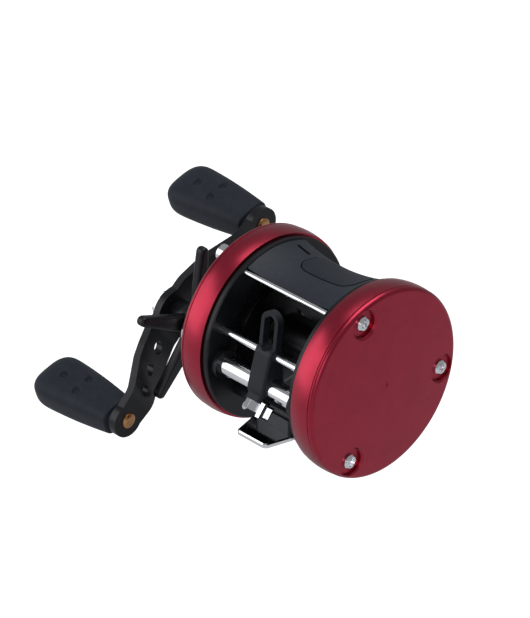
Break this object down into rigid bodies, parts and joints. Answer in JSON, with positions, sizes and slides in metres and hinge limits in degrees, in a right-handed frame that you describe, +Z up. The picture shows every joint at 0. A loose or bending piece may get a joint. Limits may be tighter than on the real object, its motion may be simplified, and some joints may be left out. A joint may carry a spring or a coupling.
{
  "type": "baitcasting reel",
  "caption": "Round baitcasting reel with red side cups, a double-paddle handle, star drag, level wind and a chromed rod foot.",
  "frame": {"origin": "middle of the foot's underside, where the rod seat holds the reel", "axes": "+X along the spool axis away from the handle, +Y towards the thumb bar, +Z up from the rod"},
  "size_m": [0.1106, 0.0706, 0.0687],
  "materials": {
    "red_anodised": "satin anodised red",
    "black_anodised": "satin anodised black",
    "soft_black": "soft touch",
    "black_nylon": "moulded",
    "chrome": "bright plated",
    "steel": "machined",
    "brass": "machined",
    "copper": "copper coloured",
    "white_nylon": "moulded",
    "dark_fibre": "pressed fibre",
    "alloy": "machined"
  },
  "bodies": {
    "frame": {"near_flange": "black_anodised", "far_flange": "black_anodised", "pillars": "black_anodised", "foot_pads": "black_anodised", "foot": "chrome", "foot_rivets": "chrome", "top_cover": "black_anodised", "thumb_pad": "soft_black", "front_bar": "chrome", "levelwind_tube": "chrome", "tube_collars": "black_anodised", "guide_rod": "chrome", "worm_bushes": "white_nylon", "idler_pin": "steel", "near_cup": "red_anodised", "far_cup": "red_anodised", "cup_screws": "chrome", "thumb_screws": "chrome", "brake_plate": "alloy", "gear_plate": "alloy", "brake_ring": "brass", "near_bearing": "steel", "far_bearing": "steel", "one_way_bearing": "steel", "shaft_bush": "steel", "yoke_posts": "steel", "yoke_springs": "steel"},
    "handle": {"drive_shaft": "steel", "levelwind_cog": "brass", "main_gear": "brass", "drag_washer": "dark_fibre", "pressure_plate": "steel", "shaft_sleeve": "chrome", "spring_washers": "steel", "handle_spacer": "black_anodised", "handle_arm": "black_anodised", "handle_nut": "chrome", "nut_keeper": "chrome", "knob_rivets": "copper"},
    "star": {"star_drag": "black_anodised"},
    "front_grip": {"knob_front": "soft_black"},
    "back_grip": {"knob_back": "soft_black"},
    "spool": {"spool": "black_anodised", "spindle": "steel", "clutch_pin": "steel", "brake_hub": "alloy", "brake_blocks": "white_nylon"},
    "yoke": {"yoke": "white_nylon"},
    "pinion": {"pinion": "brass"},
    "thumb_release": {"thumb_bar": "black_anodised", "clutch_slide": "steel"},
    "worm": {"worm_shaft": "steel", "worm_gear": "brass"},
    "idler": {"idler_gear": "white_nylon"},
    "guide": {"line_guide": "black_nylon", "pawl": "brass", "pawl_cap": "chrome", "guide_clip": "chrome"},
    "cap": {"tension_cap": "chrome", "tension_shim": "white_nylon"}
  },
  "joints": [
    {"name": "handle_spin", "type": "hinge", "parent": "frame", "child": "handle", "pos_m": [0, 0.0005, 0.00621], "axis": [1, 0, 0], "continuous": true},
    {"name": "spool_spin", "type": "hinge", "parent": "frame", "child": "spool", "pos_m": [0, 0, 0.0186], "axis": [1, 0, 0], "continuous": true},
    {"name": "star_turn", "type": "hinge", "parent": "handle", "child": "star", "pos_m": [0, 0.0005, 0.00621], "axis": [1, 0, 0], "range_deg": [-180, 180]},
    {"name": "front_grip_spin", "type": "hinge", "parent": "handle", "child": "front_grip", "pos_m": [-0.06, -0.02592, -0.01519], "axis": [1, 0, 0], "continuous": true},
    {"name": "back_grip_spin", "type": "hinge", "parent": "handle", "child": "back_grip", "pos_m": [-0.06, 0.02692, 0.02761], "axis": [1, 0, 0], "continuous": true},
    {"name": "thumb_press", "type": "slide", "parent": "frame", "child": "thumb_release", "axis": [0, 0, -1], "range_m": [0, 0.003], "stiffness_N_per_m": 300, "springref_m": -0.002},
    {"name": "yoke_slide", "type": "slide", "parent": "frame", "child": "yoke", "axis": [-1, 0, 0], "range_m": [0, 0.0013]},
    {"name": "pinion_spin", "type": "hinge", "parent": "yoke", "child": "pinion", "pos_m": [0, 0, 0.0186], "axis": [1, 0, 0], "continuous": true},
    {"name": "worm_spin", "type": "hinge", "parent": "frame", "child": "worm", "pos_m": [0, -0.0213, 0.0167], "axis": [1, 0, 0], "continuous": true},
    {"name": "idler_spin", "type": "hinge", "parent": "frame", "child": "idler", "pos_m": [0, -0.01238, 0.01027], "axis": [1, 0, 0], "continuous": true},
    {"name": "guide_slide", "type": "slide", "parent": "frame", "child": "guide", "axis": [1, 0, 0], "range_m": [-0.0118, 0.0084]},
    {"name": "tension_turn", "type": "hinge", "parent": "frame", "child": "cap", "pos_m": [0, 0, 0.0186], "axis": [1, 0, 0], "range_deg": [-180, 180]}
  ],
  "couplings": [
    {"joint": "spool_spin", "follows": "handle_spin", "ratio": -5.2},
    {"joint": "pinion_spin", "follows": "handle_spin", "ratio": -5.2},
    {"joint": "worm_spin", "follows": "handle_spin", "ratio": 1.625},
    {"joint": "idler_spin", "follows": "handle_spin", "ratio": -0.92857},
    {"joint": "yoke_slide", "follows": "thumb_press", "ratio": 0.43333}
  ]
}
